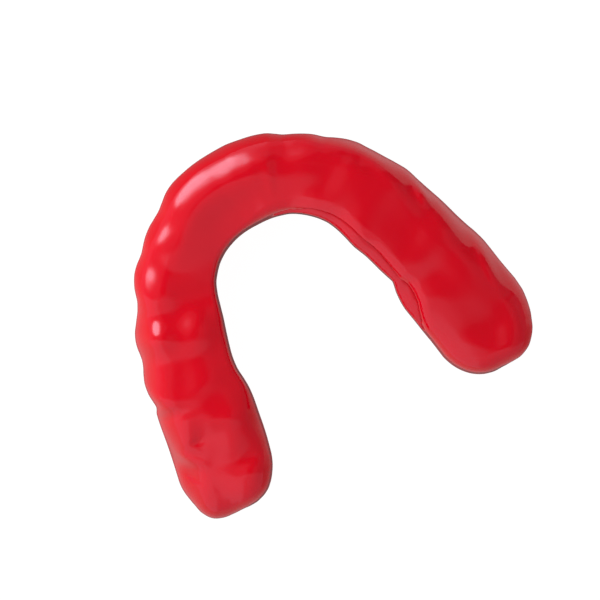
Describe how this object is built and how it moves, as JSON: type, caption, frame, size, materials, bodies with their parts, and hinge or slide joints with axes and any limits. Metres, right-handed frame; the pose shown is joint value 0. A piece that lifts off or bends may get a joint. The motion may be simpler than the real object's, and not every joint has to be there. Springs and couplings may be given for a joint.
{
  "type": "mouthguard",
  "caption": "Custom-moulded red upper mouthguard: horseshoe laminate of an outer protective sheet and an inner liner with a tooth channel, resting gum side down.",
  "frame": {"origin": "centre of the bounding box in plan, on the plane of the labial rim", "axes": "+Z from the gum side to the biting side, incisors towards -Y, distal ends towards +Y, the wearer's right arm at +X (the guard lies biting side up)"},
  "size_m": [0.0658, 0.0549, 0.0174],
  "materials": {
    "outer_sheet": "glossy, slightly translucent thermoformed EVA",
    "liner_sheet": "semi-gloss, slightly translucent thermoformed EVA"
  },
  "bodies": {
    "root": {"outer_layer": "outer_sheet", "inner_liner": "liner_sheet"}
  },
  "joints": []
}
